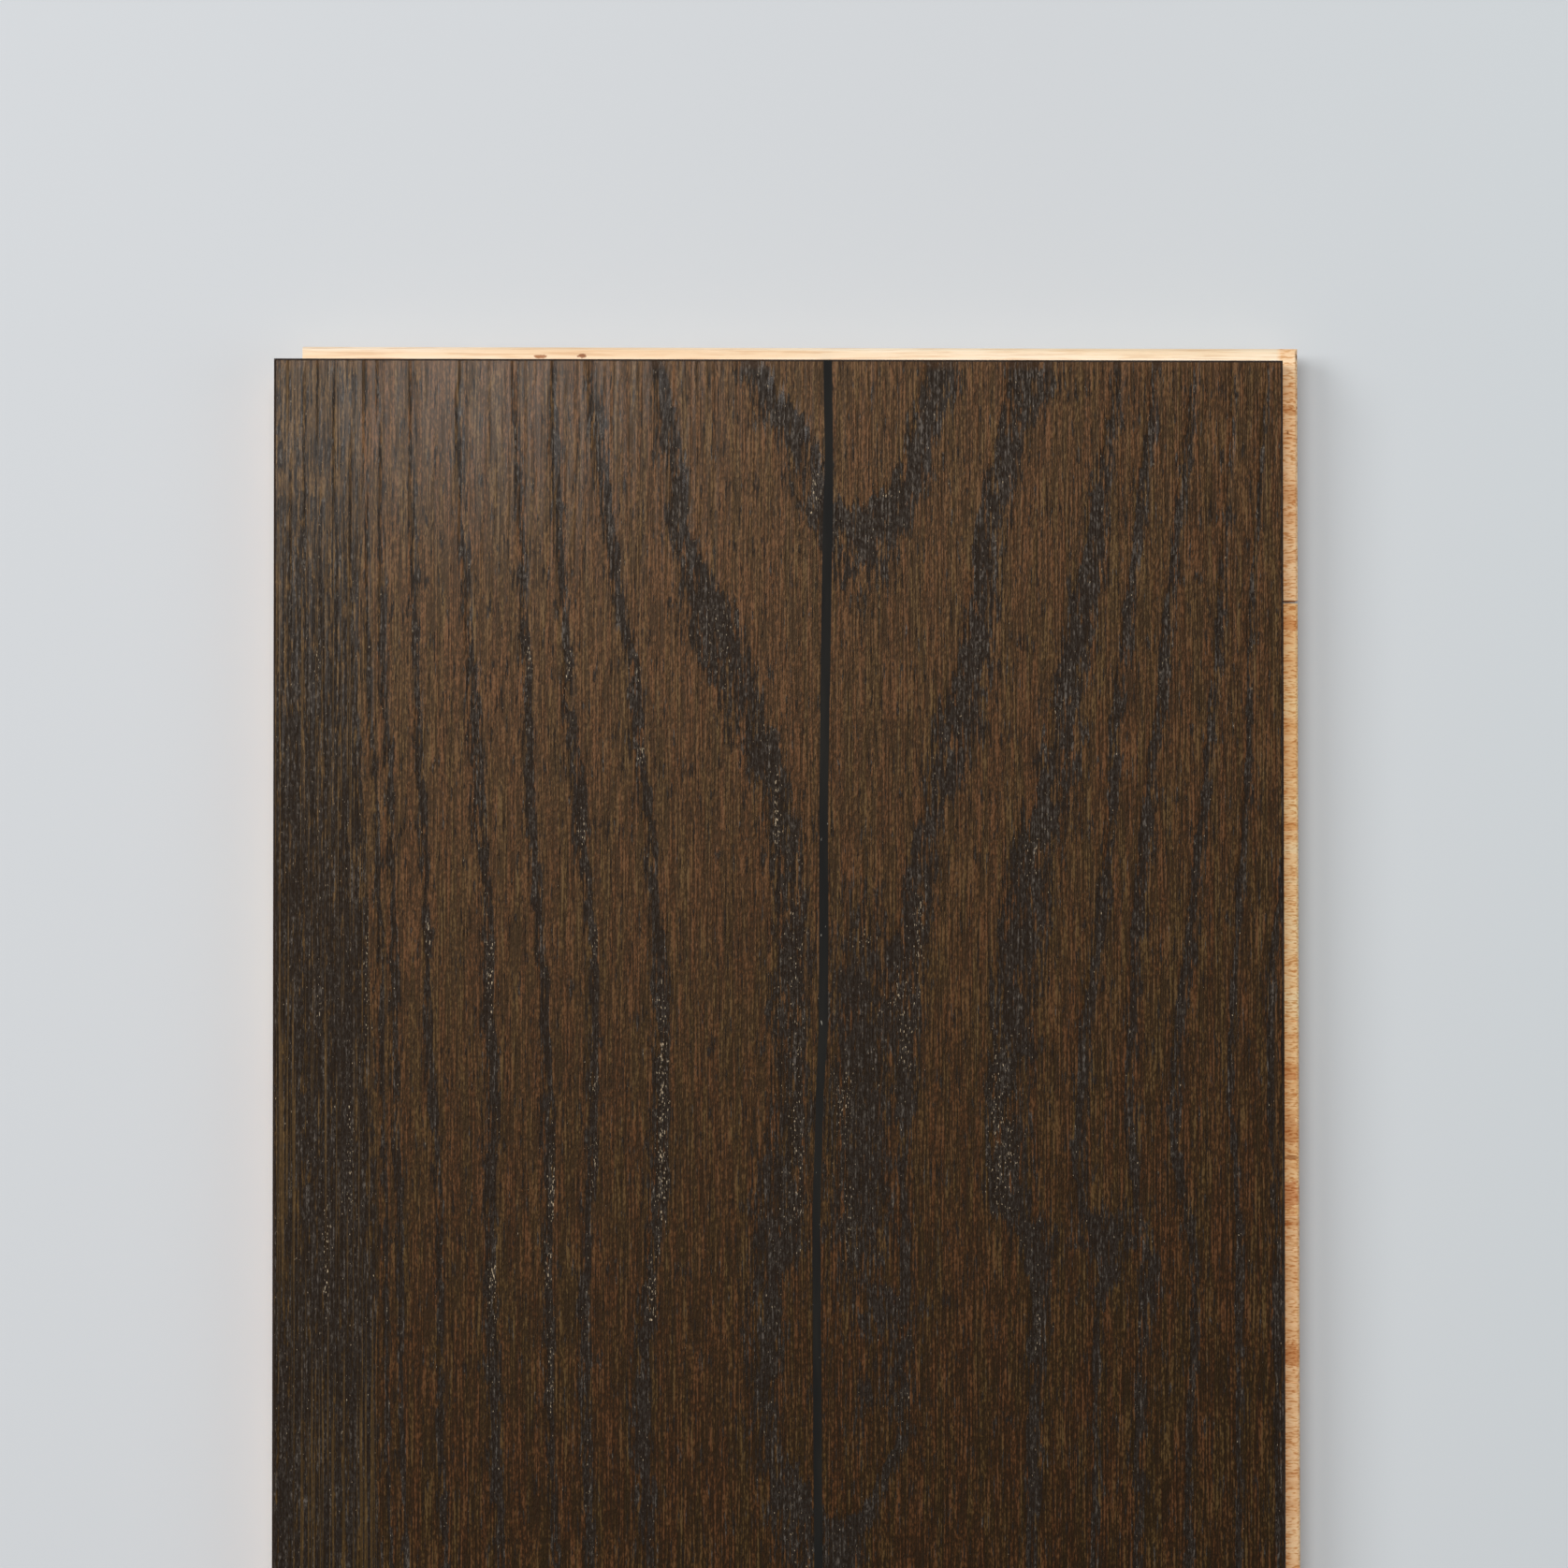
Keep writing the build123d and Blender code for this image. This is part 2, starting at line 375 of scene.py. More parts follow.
def face_sheet():
    """The oak face: a fine grid, shaped into its bevels, its crack and its brushed rings."""
    bevel = EDGE_BEVEL
    near = np.arange(bevel, NEAR_LENGTH, NEAR_ROW_STEP)
    far = np.arange(NEAR_LENGTH, BOARD_LENGTH - bevel - 2.0, FAR_ROW_STEP)
    distances = np.concatenate([[0.0], near, far, [BOARD_LENGTH - bevel, BOARD_LENGTH]])
    count_left = int(round((BOARD_WIDTH / 2 + 8.5) / COLUMN_STEP))
    count_right = int(round((BOARD_WIDTH / 2 - 8.5) / COLUMN_STEP))
    columns = count_left + count_right + 4
    rows = len(distances)

    bpy.ops.mesh.primitive_grid_add(x_subdivisions=columns - 1, y_subdivisions=rows - 1, size=1,
                                    location=(0, 0, 0))
    sheet = bpy.context.object
    sheet.name = "oak_face"
    mesh = sheet.data
    assert len(mesh.vertices) == rows * columns

    flat = np.empty(len(mesh.vertices) * 3)
    mesh.vertices.foreach_get("co", flat)
    flat = flat.reshape(-1, 3)
    row_of = np.rint((0.5 - flat[:, 1]) * (rows - 1)).astype(int)
    column_of = np.rint((flat[:, 0] + 0.5) * (columns - 1)).astype(int)

    x = np.zeros((rows, columns))
    z = np.full((rows, columns), BOARD_THICKNESS)
    phase = np.zeros((rows, columns))
    shade = np.zeros((rows, columns))
    specks = np.zeros((rows, columns))
    spread = np.zeros((rows, columns))
    filler = slice(count_left + 1, count_left + 3)
    fibres = random.normal(0, 1, columns)
    for row, distance in enumerate(distances):
        x[row] = column_places(distance, count_left, count_right)
        phase[row], spread[row] = ring_phase(x[row], distance)
        shade[row] = patches(x[row], distance, SHADE_PATCHES)
        specks[row] = patches(x[row], distance, SPECK_PATCHES)
        fibres = 0.82 * fibres + 0.57 * random.normal(0, 1, columns)
        part = (phase[row] - np.floor(phase[row])) / spread[row]
        porous = np.clip(part / 0.15, 0, 1) * np.clip((1.2 - part) / 0.4, 0, 1)
        z[row] -= BRUSHED_DEPTH * porous + FIBRE_DEPTH * np.clip(fibres * 0.4 + 0.5, 0, 1.5)
        if crack_line(distance)[1] > 0.1:
            z[row, filler] = BOARD_THICKNESS - CHANNEL_DEPTH
    z[0] = z[-1] = BOARD_THICKNESS - EDGE_BEVEL
    z[:, 0] = z[:, -1] = BOARD_THICKNESS - EDGE_BEVEL
    z[0, filler] = BOARD_THICKNESS - CHANNEL_DEPTH

    y = BOARD_LENGTH / 2 - distances
    flat[:, 0] = x[row_of, column_of] * MM
    flat[:, 1] = y[row_of] * MM
    flat[:, 2] = z[row_of, column_of] * MM
    mesh.vertices.foreach_set("co", flat.ravel())
    # The rings are fainter where the end starts, the outer ones most
    inner_start = np.clip(0.5 + distances / 90.0, 0, 1)[:, None]
    outer_start = np.clip(0.3 + distances / 100.0, 0, 1)[:, None]
    weights = np.interp(phase, np.arange(len(RING_WEIGHT)), RING_WEIGHT)
    weights *= np.where(phase > 5.7, outer_start, np.where(phase > 2.7, inner_start, 1.0))
    for name, values in (("ring", phase), ("ring_weight", weights), ("shade", shade),
                         ("specks", specks), ("ring_spread", spread)):
        attribute = mesh.attributes.new(name, "FLOAT", "POINT")
        attribute.data.foreach_set("value", values[row_of, column_of].astype(np.float32))
    mesh.update()

    bpy.ops.object.mode_set(mode="EDIT")
    bpy.ops.mesh.select_mode(type="EDGE")
    bpy.ops.mesh.select_all(action="DESELECT")
    bpy.ops.mesh.select_non_manifold(extend=False)
    drop = (FACE_BOTTOM - BOARD_THICKNESS + EDGE_BEVEL) * MM
    bpy.ops.mesh.extrude_region_move(TRANSFORM_OT_translate={"value": (0, 0, drop)})
    bpy.ops.mesh.edge_face_add()
    bpy.ops.mesh.select_all(action="SELECT")
    bpy.ops.mesh.normals_make_consistent(inside=False)
    bpy.ops.object.mode_set(mode="OBJECT")
    for polygon in mesh.polygons:
        polygon.material_index = 0 if polygon.normal.z > 0.2 else 1
    return sheet


def left_zone_share(tree, across_board, along_board, streaks):
    """One inside the dark zone along the left edge, whose border leans a little."""
    border = add(tree, "Math", {0: along_board, 1: LEFT_ZONE_LEAN, 2: across_board},
                 operation="MULTIPLY_ADD")
    border = add(tree, "Math", {0: streaks, 1: 0.005, 2: border}, operation="MULTIPLY_ADD")
    return add(tree, "MapRange", {0: border, 1: LEFT_ZONE_BORDER, 2: LEFT_ZONE_BORDER - 0.0015,
                                  3: 0.0, 4: 1.0})


def hard_oak(tree, place, figure, left_zone):
    """The hard wood between the pores: golden fibres and reddish ones, side by side."""
    golden = add(tree, "ValToRGB", {0: figure}, stops=[
        (0.43, linear("100A02")), (0.50, linear("1B1206")), (0.54, linear("281C0B")),
        (0.58, linear("3B2A13")), (0.65, linear("513F25")),
    ])
    reddish = add(tree, "ValToRGB", {0: figure}, stops=[
        (0.43, linear("120803")), (0.50, linear("1F1006")), (0.54, linear("2D190B")),
        (0.58, linear("412612")), (0.65, linear("573822")),
    ])
    hue = stretched_noise(tree, place, (900, 50, 900), 2.0, 0.55)
    hue = add(tree, "ValToRGB", {0: hue}, stops=[(0.38, grey(0)), (0.58, grey(1))])
    hue = add(tree, "Math", {0: hue, 1: left_zone}, operation="SUBTRACT", use_clamp=True)
    return add(tree, "Mix", {0: hue, 6: golden, 7: reddish}, output=2, data_type="RGBA")


def porous_bands(tree, place):
    """Strength of the porous wood, which starts sharply on the heart side of each ring and
    fades outwards. Its edge is ragged, because single pores stand out over it."""
    ring = add(tree, "Attribute", output="Fac", attribute_name="ring")
    part = add(tree, "Math", {0: ring, 1: EDGE_LEAD}, operation="ADD")
    part = add(tree, "Math", {0: part}, operation="FRACT")
    part = add(tree, "Math", {0: part, 1: EDGE_LEAD}, operation="SUBTRACT")
    spread = add(tree, "Attribute", output="Fac", attribute_name="ring_spread")
    part = add(tree, "Math", {0: part, 1: spread}, operation="DIVIDE")
    ragged = stretched_noise(tree, place, (1700, 150, 1700), 2.0, 0.5)
    ragged = add(tree, "MapRange",
                 {0: ragged, 1: 0.0, 2: 1.0, 3: -RAGGEDNESS / 2, 4: RAGGEDNESS / 2})
    part = add(tree, "Math", {0: part, 1: 0.62, 2: ragged}, operation="MULTIPLY_ADD")
    band = add(tree, "ValToRGB", {0: part}, stops=[
        (0.0, grey(0.0)), (0.05, grey(1.0)), (0.3, grey(0.9)), (0.52, grey(0.74)),
        (0.7, grey(0.46)), (0.88, grey(0.2)), (1.0, grey(0.0)),
    ])
    uneven = stretched_noise(tree, place, (170, 80, 170), 2.0, 0.5)
    uneven = add(tree, "MapRange", {0: uneven, 1: 0.40, 2: 0.55, 3: 0.62, 4: 1.04})
    weight = add(tree, "Attribute", output="Fac", attribute_name="ring_weight")
    weight = add(tree, "Math", {0: weight, 1: uneven}, operation="MULTIPLY")
    band = add(tree, "Math", {0: band, 1: weight}, operation="MULTIPLY")
    shade = add(tree, "Attribute", output="Fac", attribute_name="shade")
    return add(tree, "Math", {0: band, 1: shade}, operation="MAXIMUM")


def left_zone_bands(tree, place, along_board, left_zone):
    """Strength of the porous wood in the left zone, where the tight rings run into each
    other. Near the end it has more brown in it."""
    depth = add(tree, "MapRange", {0: along_board, 1: 0.938, 2: 0.903, 3: 0.34, 4: 0.66})
    deeper = add(tree, "MapRange", {0: along_board, 1: 0.90, 2: 0.80, 3: 0.0, 4: 0.3})
    depth = add(tree, "Math", {0: depth, 1: deeper}, operation="ADD")
    seams = stretched_noise(tree, place, (1500, 20, 1500), 2.0, 0.5)
    seams = add(tree, "MapRange", {0: seams, 1: 0.45, 2: 0.58, 3: 1.06, 4: 0.5})
    zone = add(tree, "Math", {0: left_zone, 1: depth}, operation="MULTIPLY")
    return add(tree, "Math", {0: zone, 1: seams}, operation="MULTIPLY")


def edge_tones(tree, wood, across_board, along_board):
    """The arrises are darker, and the end's last 1.7 mm is a little lighter."""
    half_width, half_length = BOARD_WIDTH / 2 * MM, BOARD_LENGTH / 2 * MM
    far_across = add(tree, "Math", {0: across_board}, operation="ABSOLUTE")
    far_along = add(tree, "Math", {0: along_board}, operation="ABSOLUTE")
    side = add(tree, "MapRange",
               {0: far_across, 1: half_width - 0.0005, 2: half_width - 0.0003, 3: 0.0, 4: 1.0})
    end = add(tree, "MapRange",
              {0: far_along, 1: half_length - 0.0005, 2: half_length - 0.0003, 3: 0.0, 4: 1.0})
    arris = add(tree, "Math", {0: side, 1: end}, operation="MAXIMUM")
    strip = add(tree, "MapRange",
                {0: far_along, 1: half_length - 0.0022, 2: half_length - 0.0012, 3: 0.0, 4: 0.3})
    wood = add(tree, "Mix", {0: strip, 6: wood, 7: linear("4E341F")}, output=2, data_type="RGBA")
    return add(tree, "Mix", {0: arris, 6: wood, 7: linear("170C08")}, output=2, data_type="RGBA")


def stained_oak():
    """Oak, brushed so that the soft porous wood lies lower, stained dark brown and sealed
    with a matt lacquer: golden and reddish hard fibres, near-black dashes where the pores
    are close together, and pale specks in some pores, partly pale residue and partly a
    painted glint of the lacquer catching the light."""
    material, tree, surface = new_material("stained brushed oak")
    place = add(tree, "TexCoord", output="Object")
    across_board, along_board = add(tree, "SeparateXYZ", {0: place}).node.outputs[:2]

    # Fibres 0.3 mm wide and 12 mm long, a grain of 0.3 by 0.9 mm, and streaks 2.4 mm wide
    fibres = stretched_noise(tree, place, (3000, 85, 3000), 1.0, 0.4)
    fine = stretched_noise(tree, place, (3500, 1100, 3500), 1.0, 0.5)
    streaks = stretched_noise(tree, place, (420, 16, 420), 2.0, 0.55)
    figure = add(tree, "Mix", {0: 0.45, 2: fibres, 3: fine})
    figure = add(tree, "Math", {0: streaks, 1: 0.07, 2: figure}, operation="MULTIPLY_ADD")
    # Painted shade: the hard wood darkens slowly away from the end, standing in for the
    # light and sheen that fall off down the board
    painted_falloff = add(tree, "MapRange", {0: along_board, 1: 0.87, 2: 0.76, 3: 0.0, 4: -0.022})
    figure = add(tree, "Math", {0: figure, 1: painted_falloff}, operation="ADD")
    left_zone = left_zone_share(tree, across_board, along_board, streaks)
    hard_wood = hard_oak(tree, place, figure, left_zone)

    # Dashes 0.5 mm wide and 6 mm long fill a band as densely as it is strong
    zone = left_zone_bands(tree, place, along_board, left_zone)
    band = add(tree, "Math", {0: porous_bands(tree, place), 1: zone}, operation="MAXIMUM")
    dashes = stretched_noise(tree, place, (2000, 170, 2000), 2.0, 0.55)
    dashes = add(tree, "MapRange", {0: dashes, 1: 0.34, 2: 0.66, 3: 0.0, 4: 1.0})
    filled = add(tree, "Math", {0: dashes, 1: band}, operation="ADD")
    porous = add(tree, "MapRange", {0: filled, 1: 0.84, 2: 0.94, 3: 0.0, 4: 1.0})
    # Golden lines of hard wood, 0.4 mm wide and 80 mm long, run through the left zone
    lines = stretched_noise(tree, place, (2600, 13, 2600), 2.0, 0.5)
    lines = add(tree, "MapRange", {0: lines, 1: 0.56, 2: 0.62, 3: 0.0, 4: 0.95})
    lines = add(tree, "Math", {0: lines, 1: left_zone}, operation="MULTIPLY")
    porous = add(tree, "Math", {0: porous, 1: lines}, operation="SUBTRACT", use_clamp=True)

    # Porous wood is charcoal with grey grains 0.3 mm wide and 1.2 mm long. Near the end it
    # is painted lighter, a painted sheen where the lamps' glare falls
    dots = stretched_noise(tree, place, (2900, 850, 2900), 2.0, 0.55)
    dots = add(tree, "Mix", {0: 0.6, 2: fibres, 3: dots})
    lighter = add(tree, "MapRange", {0: along_board, 1: 0.94, 2: 0.84, 3: 0.05, 4: 0.0})
    dots = add(tree, "Math", {0: dots, 1: lighter}, operation="ADD")
    porous_wood = add(tree, "ValToRGB", {0: dots}, stops=[
        (0.38, linear("07080A")), (0.46, linear("0E1012")), (0.53, linear("1A1B1C")),
        (0.60, linear("312F2C")), (0.69, linear("58534E")),
    ])
    wood = add(tree, "Mix", {0: porous, 6: hard_wood, 7: porous_wood}, output=2, data_type="RGBA")
    lines = add(tree, "Math", {0: lines, 1: 0.3}, operation="MULTIPLY")
    wood = add(tree, "Mix", {0: lines, 6: wood, 7: linear("5A4628")}, output=2, data_type="RGBA")

    # Pores: dashes 0.2 mm wide and 0.8 mm long, dark, and pale specks in some, partly pale
    # residue and partly a painted glint
    pores = stretched_noise(tree, place, (5200, 1300, 5200), 1.0, 0.5)
    dark = add(tree, "ValToRGB", {0: pores}, stops=[(0.34, grey(1)), (0.42, grey(0))])
    dark = add(tree, "Math", {0: dark, 1: porous}, operation="MULTIPLY")
    wood = add(tree, "Mix", {0: dark, 6: wood, 7: linear("080808")}, output=2, data_type="RGBA")
    specks = add(tree, "Attribute", output="Fac", attribute_name="specks")
    specks = add(tree, "Math", {0: specks, 1: porous}, operation="MULTIPLY")
    level = add(tree, "Math", {0: specks, 1: 0.18, 2: pores}, operation="MULTIPLY_ADD")
    residue_and_glints = add(tree, "ValToRGB", {0: level}, stops=[(0.74, grey(0)), (0.80, grey(1))])
    residue_and_glints = add(tree, "Math", {0: residue_and_glints, 1: porous}, operation="MULTIPLY")
    wood = add(tree, "Mix", {0: residue_and_glints, 6: wood, 7: linear("B3A084")}, output=2, data_type="RGBA")
    wood = edge_tones(tree, wood, across_board, along_board)

    polish = add(tree, "MapRange", {0: figure, 1: 0.44, 2: 0.62, 3: 0.46, 4: 0.38})
    roughness = add(tree, "Mix", {0: porous, 2: polish, 3: 0.68})
    relief = add(tree, "Math", {0: dark, 1: -0.35, 2: figure}, operation="MULTIPLY_ADD")
    pitted = add(tree, "Math", {0: dots, 1: porous}, operation="MULTIPLY")
    relief = add(tree, "Math", {0: pitted, 1: 0.6, 2: relief}, operation="MULTIPLY_ADD")
    bump = add(tree, "Bump", {"Height": relief, "Strength": 0.75, "Distance": 0.00015})
    # The warm tint is the light that comes back out of the stained fibres, and the thin
    # coat is the lacquer
    shader = add(tree, "BsdfPrincipled",
                 {"Base Color": wood, "Roughness": roughness, "Normal": bump,
                  "Specular IOR Level": 0.32, "Specular Tint": linear("FFCFA2"),
                  "Coat Weight": 0.06, "Coat Roughness": 0.15, "Coat IOR": 1.5})
    tree.links.new(shader, surface)
    return material


def bare_oak():
    """The sawn sides of the oak layer, which took no stain: pale brown, with short dark
    pore lines along the board."""
    material, tree, surface = new_material("bare sawn oak")
    place = add(tree, "TexCoord", output="Object")
    fibres = stretched_noise(tree, place, (900, 60, 2600), 3.0, 0.6)
    colour = add(tree, "ValToRGB", {0: fibres}, stops=[
        (0.36, linear("6E4A2B")), (0.5, linear("A3784E")), (0.64, linear("BC946A")),
    ])
    pores = stretched_noise(tree, place, (2400, 300, 4200), 1.0, 0.5)
    dark = add(tree, "ValToRGB", {0: pores}, stops=[(0.32, grey(0.7)), (0.4, grey(0))])
    colour = add(tree, "Mix", {0: dark, 6: colour, 7: linear("3F2817")}, output=2, data_type="RGBA")
    bump = add(tree, "Bump", {"Height": fibres, "Strength": 0.4, "Distance": 0.0001})
    shader = add(tree, "BsdfPrincipled",
                 {"Base Color": colour, "Normal": bump, "Roughness": 0.7, "Specular IOR Level": 0.3})
    tree.links.new(shader, surface)
    return material


def mark(tree, place, wood, middle, half_size, colour):
    """An oval mark on bare wood, such as a small knot: its middle and half sizes are in
    millimetres across and along the board."""
    moved = add(tree, "Mapping",
                {"Vector": place,
                 "Location": (-middle[0] / half_size[0], -middle[1] / half_size[1], 0.0),
                 "Scale": (1.0 / (half_size[0] * MM), 1.0 / (half_size[1] * MM), 0.0)})
    reach = add(tree, "VectorMath", {0: moved}, output="Value", operation="LENGTH")
    ragged = stretched_noise(tree, place, (700, 1600, 1600), 2.0, 0.6)
    reach = add(tree, "Math", {0: reach, 1: ragged}, operation="ADD")
    share = add(tree, "ValToRGB", {0: reach}, stops=[
        (0.8, grey(0.9)), (1.0, grey(0.6)), (1.6, grey(0)),
    ])
    return add(tree, "Mix", {0: share, 6: wood, 7: colour}, output=2, data_type="RGBA")


def softwood(name, tone, seed):
    """Pine or spruce, sawn and milled bare: pale fibres along the strip, brown latewood
    lines and short marks torn by the cutter. The end tongue is painted cream, partly a
    paler wood and partly painted light: it lies in full light while the side tongues lie in
    the face's shade, and the side tongue's corner, which the light reaches too, gets a
    quarter of it."""
    material, tree, surface = new_material(name)
    place = add(tree, "TexCoord", output="Object")
    across_board, along_board = add(tree, "SeparateXYZ", {0: place}).node.outputs[:2]
    moved = add(tree, "Mapping", {"Vector": place, "Location": (seed * 0.37, seed * 0.61, 0.0)})
    fibres = stretched_noise(tree, moved, (90, 2600, 2600), 3.0, 0.6)
    rings = stretched_noise(tree, moved, (14, 420, 300), 2.0, 0.5)
    broad = stretched_noise(tree, moved, (5, 90, 60), 2.0, 0.5)
    light, middle, dark = tone
    colour = add(tree, "ValToRGB", {0: rings}, stops=[
        (0.36, linear(light)), (0.54, linear(middle)), (0.72, linear(dark)),
    ])
    # Painted light, partly a paler wood: cream on the lit end tongue, a quarter of it on the side
    # tongue's corner
    pale_and_lit = add(tree, "ValToRGB", {0: rings}, stops=[
        (0.36, linear("FBEFDA")), (0.54, linear("F6E3C6")), (0.72, linear("EDD2AE")),
    ])
    cream = add(tree, "MapRange", {0: along_board, 1: 0.9478, 2: 0.9488, 3: 0.0, 4: 1.0})
    not_corner = add(tree, "MapRange", {0: across_board, 1: 0.0946, 2: 0.0956, 3: 1.0, 4: 0.25})
    cream = add(tree, "Math", {0: cream, 1: not_corner}, operation="MULTIPLY")
    colour = add(tree, "Mix", {0: cream, 6: colour, 7: pale_and_lit}, output=2, data_type="RGBA")
    torn = stretched_noise(tree, moved, (750, 3300, 3300), 1.0, 0.5)
    torn_share = add(tree, "MapRange", {0: across_board, 1: 0.0946, 2: 0.0956, 3: 0.05, 4: 0.8})
    height = add(tree, "Mix", {0: torn_share, 2: fibres, 3: torn})
    lines = add(tree, "ValToRGB", {0: height}, stops=[
        (0.38, linear("D9B793")), (0.46, linear("F7ECDF")), (0.54, linear("FFFFFF")),
    ])
    calm = add(tree, "Math", {0: cream, 1: 0.6}, operation="MULTIPLY")
    lines = add(tree, "Mix", {0: calm, 6: lines, 7: linear("FFFFFF")}, output=2, data_type="RGBA")
    warm = add(tree, "ValToRGB", {0: broad}, stops=[(0.52, grey(0)), (0.7, grey(0.3))])
    colour = add(tree, "Mix", {0: warm, 6: colour, 7: linear(dark)}, output=2, data_type="RGBA")
    for middle_place, half_size, stain in MARKS.get(seed, []):
        colour = mark(tree, place, colour, middle_place, half_size, linear(stain))
    wood = add(tree, "Mix", {0: 1.0, 6: colour, 7: lines},
               output=2, data_type="RGBA", blend_type="MULTIPLY")
    bump = add(tree, "Bump", {"Height": height, "Strength": 0.5, "Distance": 0.00015})
    shader = add(tree, "BsdfPrincipled",
                 {"Base Color": wood, "Normal": bump, "Roughness": 0.75, "Specular IOR Level": 0.25})
    tree.links.new(shader, surface)
    return material


def crack_filler():
    """Wood filler, pressed into the crack and sanded flush: smooth charcoal with a faint
    cloudiness and a few painted glints."""
    material, tree, surface = new_material("charcoal wood filler")
    place = add(tree, "TexCoord", output="Object")
    cloudy = stretched_noise(tree, place, (500, 60, 500), 2.0, 0.5)
    colour = add(tree, "ValToRGB", {0: cloudy}, stops=[
        (0.35, linear("100F0D")), (0.65, linear("1A1814")),
    ])
    # Painted glints: a few tiny pale spots where the filler catches the light
    glint_spots = stretched_noise(tree, place, (1500, 500, 1500), 1.0, 0.5)
    glint = add(tree, "ValToRGB", {0: glint_spots}, stops=[(0.79, grey(0)), (0.82, grey(1))])
    colour = add(tree, "Mix", {0: glint, 6: colour, 7: linear("8F8A7E")},
                 output=2, data_type="RGBA")
    shader = add(tree, "BsdfPrincipled",
                 {"Base Color": colour, "Roughness": 0.65, "Specular IOR Level": 0.15})
    tree.links.new(shader, surface)
    return material


def veneer():
    """Rotary-cut softwood veneer, sanded bare: broad wavy figure along the board."""
    material, tree, surface = new_material("rotary-cut softwood veneer")
    place = add(tree, "TexCoord", output="Object")
    figure = stretched_noise(tree, place, (34, 2.2, 34), 3.0, 0.55)
    wave = add(tree, "Math", {0: figure, 1: 9.0}, operation="MULTIPLY")
    wave = add(tree, "Math", {0: wave}, operation="FRACT")
    colour = add(tree, "ValToRGB", {0: wave}, stops=[
        (0.0, linear("DDBE8D")), (0.75, linear("CFA870")), (0.93, linear("AE7D48")),
        (1.0, linear("D9B987")),
    ])
    fibres = stretched_noise(tree, place, (1500, 40, 1500), 3.0, 0.6)
    lines = add(tree, "ValToRGB", {0: fibres}, stops=[(0.36, grey(0.8)), (0.56, grey(1.0))])
    wood = add(tree, "Mix", {0: 1.0, 6: colour, 7: lines},
               output=2, data_type="RGBA", blend_type="MULTIPLY")
    bump = add(tree, "Bump", {"Height": fibres, "Strength": 0.4, "Distance": 0.0001})
    shader = add(tree, "BsdfPrincipled",
                 {"Base Color": wood, "Normal": bump, "Roughness": 0.78, "Specular IOR Level": 0.25})
    tree.links.new(shader, surface)
    return material


def stage_and_lights():
    """A pale floor, wide soft lamps beyond the end and on the left, a weak one on the right,
    a small one for the tongue's shadow, and an even sky."""
    bpy.ops.mesh.primitive_plane_add(size=12, location=(0, 0, 0))
    floor = bpy.context.object
    floor.name = "floor"
    material, tree, surface = new_material("pale floor")
    place = add(tree, "TexCoord", output="Object")
    right = add(tree, "SeparateXYZ", {0: place})
    right = add(tree, "MapRange", {0: right, 1: 0.05, 2: 0.16, 3: 0.0, 4: 1.0})
    colour = add(tree, "Mix", {0: right, 6: linear("D1D4D7"), 7: linear("D2D7DA")},
                 output=2, data_type="RGBA")
    shader = add(tree, "BsdfPrincipled",
                 {"Base Color": colour, "Roughness": 0.9, "Specular IOR Level": 0.1})
    tree.links.new(shader, surface)
    floor.data.materials.append(material)

    world = bpy.data.worlds.new("studio")
    bpy.context.scene.world = world
    world.use_nodes = True
    background = world.node_tree.nodes["Background"]
    background.inputs[0].default_value = linear("F2F4F6")
    background.inputs[1].default_value = 0.12

    def lamp(name, place, aim, size, power):
        data = bpy.data.lights.new(name, "AREA")
        data.shape = "RECTANGLE"
        data.size, data.size_y = size
        data.energy = power
        made = bpy.data.objects.new(name, data)
        bpy.context.scene.collection.objects.link(made)
        made.location = place
        back = np.array(place) - np.array(aim)
        made.rotation_euler = Vector(back).to_track_quat("Z", "Y").to_euler()

    lamp("end bank", (-0.25, 1.32, 1.75), (0.0, 0.85, 0.0), (1.2, 0.35), 18)
    lamp("left bank", (-1.7, 1.4, 1.7), (0.0, 0.85, 0.0), (1.1, 1.1), 26)
    lamp("right fill", (1.6, 0.6, 1.5), (0.0, 0.85, 0.0), (1.1, 1.1), 4)
    lamp("small lamp", (-0.165, 1.16, 1.75), (0.0, 0.95, 0.0), (0.16, 0.1), 2)


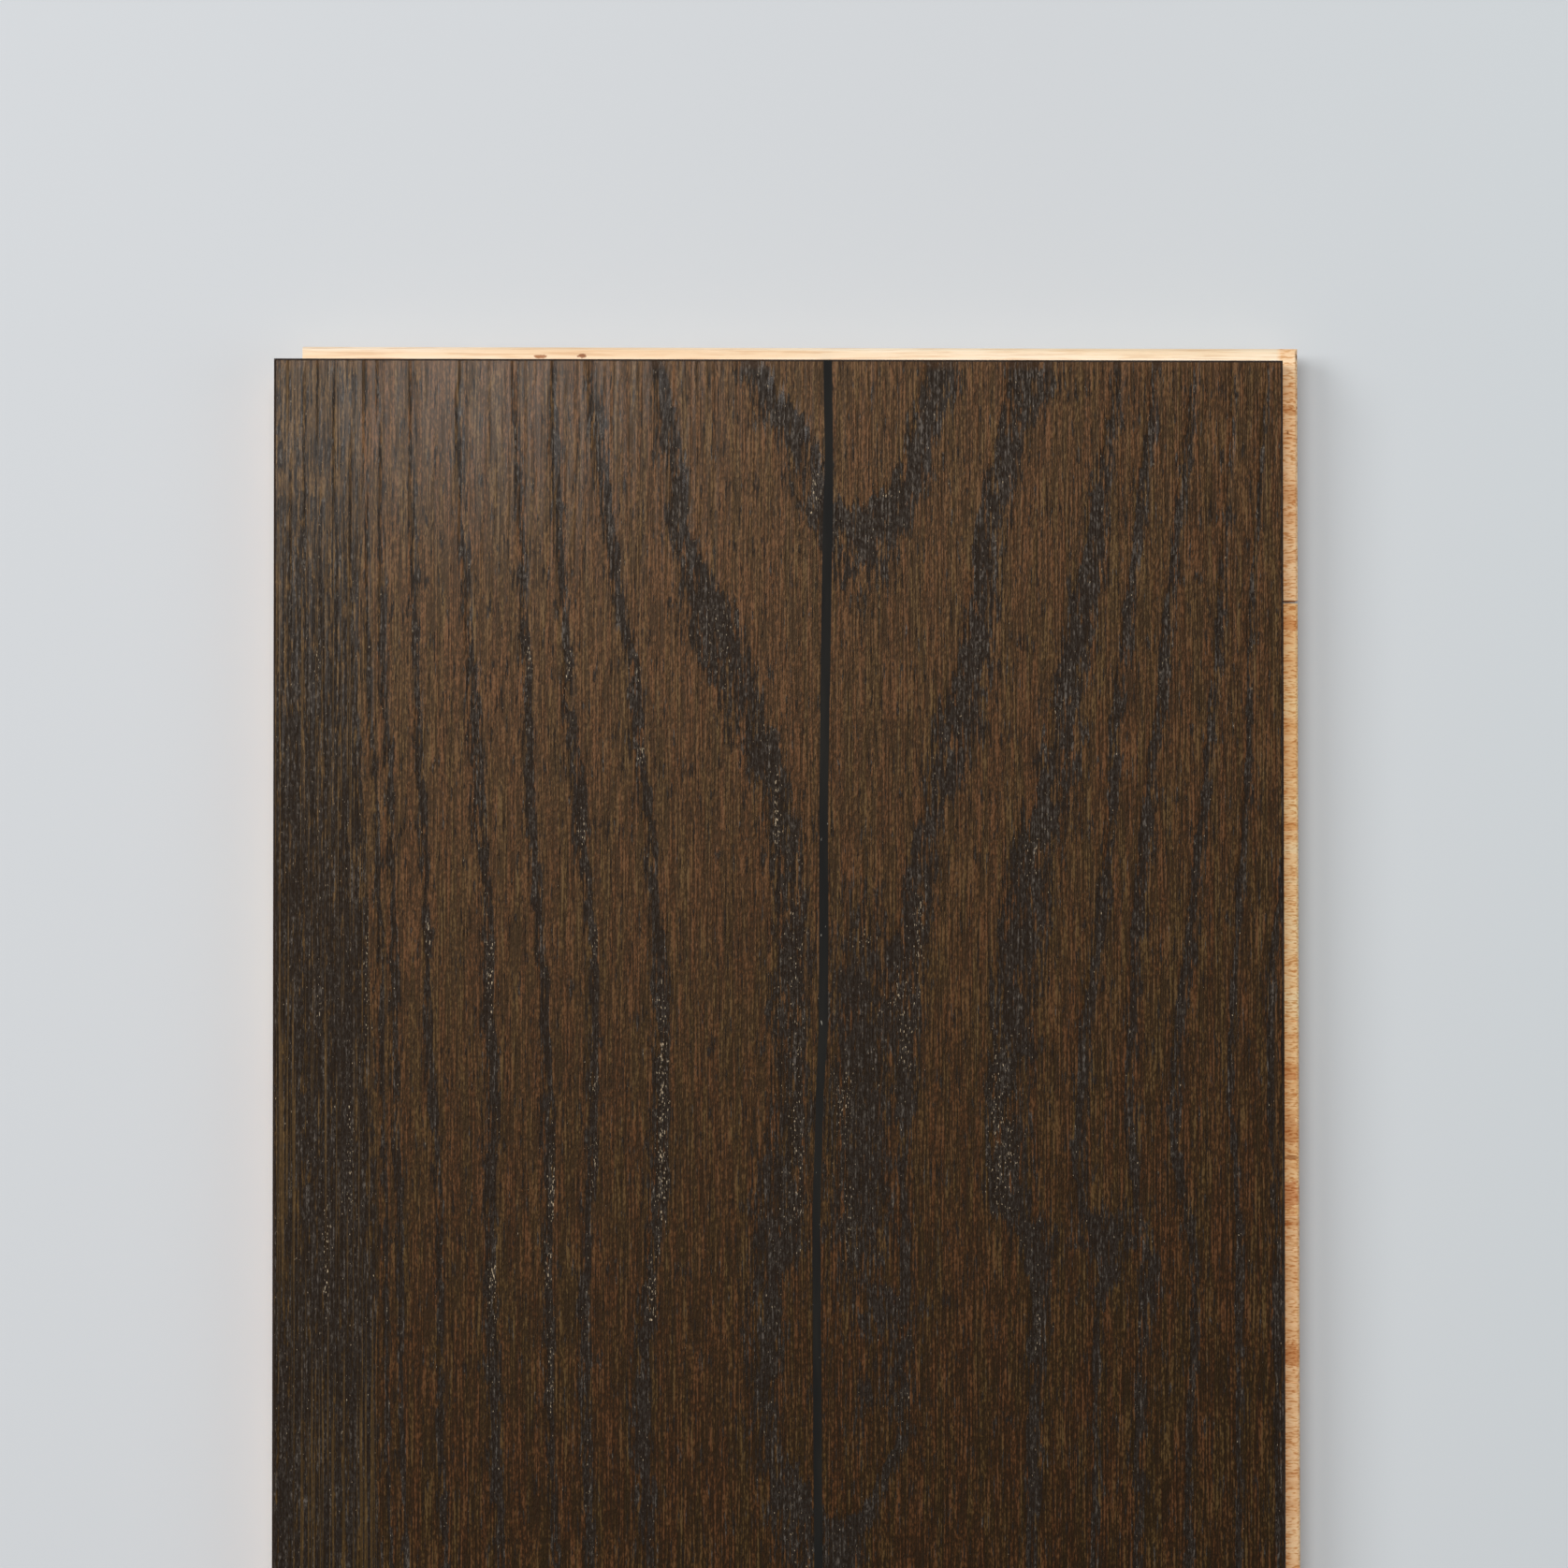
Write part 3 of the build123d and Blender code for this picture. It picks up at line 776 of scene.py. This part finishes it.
def camera():
    """Straight above the tongue end, leaning by about a degree."""
    data = bpy.data.cameras.new("camera")
    data.lens = 85
    data.sensor_width = 36
    data.dof.use_dof = False
    made = bpy.data.objects.new("camera", data)
    bpy.context.scene.collection.objects.link(made)
    made.location = (-0.01302, 0.85898, 0.71038)
    made.rotation_euler = (math.radians(0.911), math.radians(-1.135), math.radians(-0.022))
    data.clip_start = 0.01
    bpy.context.scene.camera = made


def eased_copy(node):
    """A solid's shape in one closed mesh, with its sawn edges just taken off."""
    bpy.ops.object.select_all(action="DESELECT")
    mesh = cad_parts[node].data.copy()
    mesh.materials.clear()
    copy = bpy.data.objects.new(f"eased_{node}", mesh)
    bpy.context.scene.collection.objects.link(copy)
    copy.select_set(True)
    bpy.context.view_layer.objects.active = copy
    bpy.ops.object.mode_set(mode="EDIT")
    bpy.ops.mesh.select_all(action="SELECT")
    bpy.ops.mesh.remove_doubles(threshold=1e-6)
    bpy.ops.mesh.dissolve_limited(angle_limit=math.radians(2))
    bpy.ops.mesh.normals_make_consistent(inside=False)
    bpy.ops.object.mode_set(mode="OBJECT")
    bevel = copy.modifiers.new("eased edges", "BEVEL")
    bevel.width = EASED * MM
    bevel.segments = 1
    bevel.limit_method = "ANGLE"
    bevel.angle_limit = math.radians(40)
    bevel.use_clamp_overlap = True
    bpy.ops.object.modifier_apply(modifier=bevel.name)
    return copy


def dress(node, material):
    """Gives a CAD node its material."""
    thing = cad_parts[node]
    if not thing.material_slots:
        thing.data.materials.append(material)
    for slot in thing.material_slots:
        slot.material = material


bpy.context.scene.view_settings.view_transform = "Standard"
camera()
stage_and_lights()

bpy.ops.object.select_all(action="DESELECT")
face = face_sheet()
face.data.materials.append(stained_oak())
face.data.materials.append(bare_oak())
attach(face, "root")
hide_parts("face_lamella")

dress("crack_filler", crack_filler())
dress("backing_veneer", veneer())
strip_woods = [softwood(f"milled softwood strip {k + 1}", tone, k + 1)
               for k, tone in enumerate(TONES)]
strips = sorted(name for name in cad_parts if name.startswith("core_strip"))
for number, name in enumerate(strips):
    strip = eased_copy(name)
    strip.data.materials.append(strip_woods[number % len(strip_woods)])
    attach(strip, "root")
    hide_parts(name)
